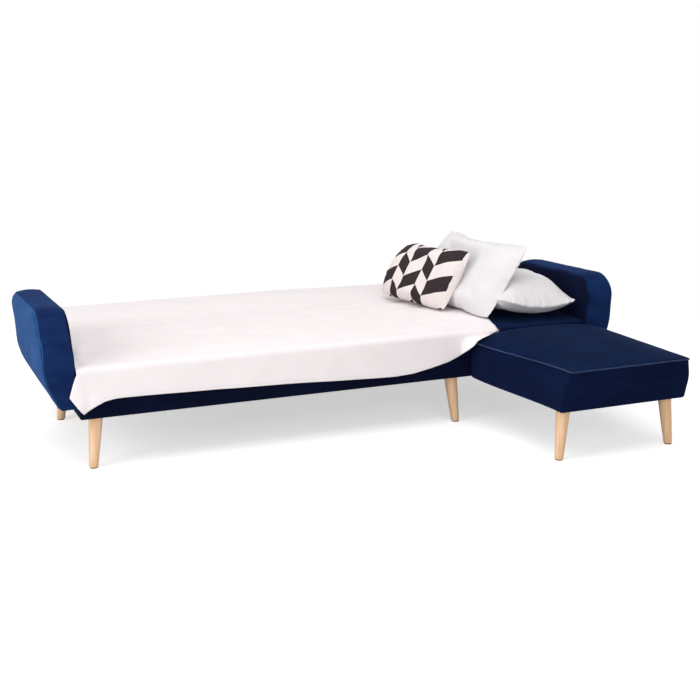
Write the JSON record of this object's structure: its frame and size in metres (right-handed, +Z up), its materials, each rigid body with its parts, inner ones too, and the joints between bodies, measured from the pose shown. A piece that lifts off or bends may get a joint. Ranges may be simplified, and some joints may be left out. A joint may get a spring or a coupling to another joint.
{
  "type": "futon sofa bed",
  "caption": "Low velvet corner sofa bed with a fold-flat back, flared padded arms, a hook-on chaise, tapered wooden legs and a made-up bed of sheet, pillows and cushion.",
  "frame": {"origin": "centre of the overall box at floor level, with the back lowered as a bed", "axes": "+X across the width, towards the sitter's left, where the chaise is; +Y from the front to the lowered back; +Z up"},
  "size_m": [2.6478, 1.8396, 0.7759],
  "materials": {
    "navy_velvet": "short-pile velvet",
    "foam": "open-cell foam",
    "webbing": "woven elastic webbing",
    "black_lining": "non-woven lining",
    "felt": "pressed felt",
    "rubber": "moulded rubber",
    "beech": "turned, clear satin lacquer",
    "pine": "sawn",
    "plywood": "sanded",
    "zinc_steel": "zinc plated",
    "white_cotton_sheet": "brushed cotton",
    "white_cotton_pillow": "smooth cotton",
    "printed_cotton": "printed cotton canvas"
  },
  "bodies": {
    "base": {"front_rail": "pine", "rear_rail": "pine", "end_rails": "pine", "cross_rails": "pine", "leg_blocks": "pine", "seat_webbing": "webbing", "seat_foam": "foam", "seat_cover": "navy_velvet", "base_cover": "navy_velvet", "base_dust_cover": "black_lining", "leg_front_left": "beech", "leg_front_middle": "beech", "leg_front_right": "beech", "leg_rear_left": "beech", "leg_rear_middle": "beech", "leg_rear_right": "beech", "leg_plates": "zinc_steel", "leg_bolts": "zinc_steel", "leg_glides": "felt", "left_arm_frame": "plywood", "left_arm_foam": "foam", "left_arm_cover": "navy_velvet", "left_arm_bolts": "zinc_steel", "right_arm_frame": "plywood", "right_arm_foam": "foam", "right_arm_cover": "navy_velvet", "right_arm_bolts": "zinc_steel", "hinge_brackets": "zinc_steel", "hinge_pins": "zinc_steel", "back_buffers": "rubber", "chaise_sockets": "zinc_steel", "bed_sheet": "white_cotton_sheet", "standing_pillow": "white_cotton_pillow", "lying_pillow": "white_cotton_pillow", "patterned_cushion": "printed_cotton"},
    "back": {"back_long_rails": "pine", "back_end_rails": "pine", "back_cross_rails": "pine", "back_webbing": "webbing", "back_foam": "foam", "back_cover": "navy_velvet", "back_lining": "black_lining", "hinge_back_plates": "zinc_steel"},
    "chaise": {"chaise_front_rail": "pine", "chaise_rear_rail": "pine", "chaise_side_rails": "pine", "chaise_leg_blocks": "pine", "chaise_webbing": "webbing", "chaise_foam": "foam", "chaise_cover": "navy_velvet", "chaise_piping": "navy_velvet", "chaise_dust_cover": "black_lining", "chaise_hooks": "zinc_steel", "chaise_leg_left": "beech", "chaise_leg_right": "beech", "chaise_leg_plates": "zinc_steel", "chaise_leg_bolts": "zinc_steel", "chaise_leg_glides": "felt"}
  },
  "joints": [
    {"name": "back_fold", "type": "hinge", "parent": "base", "child": "back", "pos_m": [0, 0.4712, 0.353], "axis": [1, 0, 0], "range_deg": [0, 80], "deforming": ["bed_sheet", "standing_pillow", "lying_pillow", "patterned_cushion"]},
    {"name": "chaise_lift", "type": "slide", "parent": "base", "child": "chaise", "axis": [0, 0, 1], "range_m": [0, 0.02]}
  ]
}
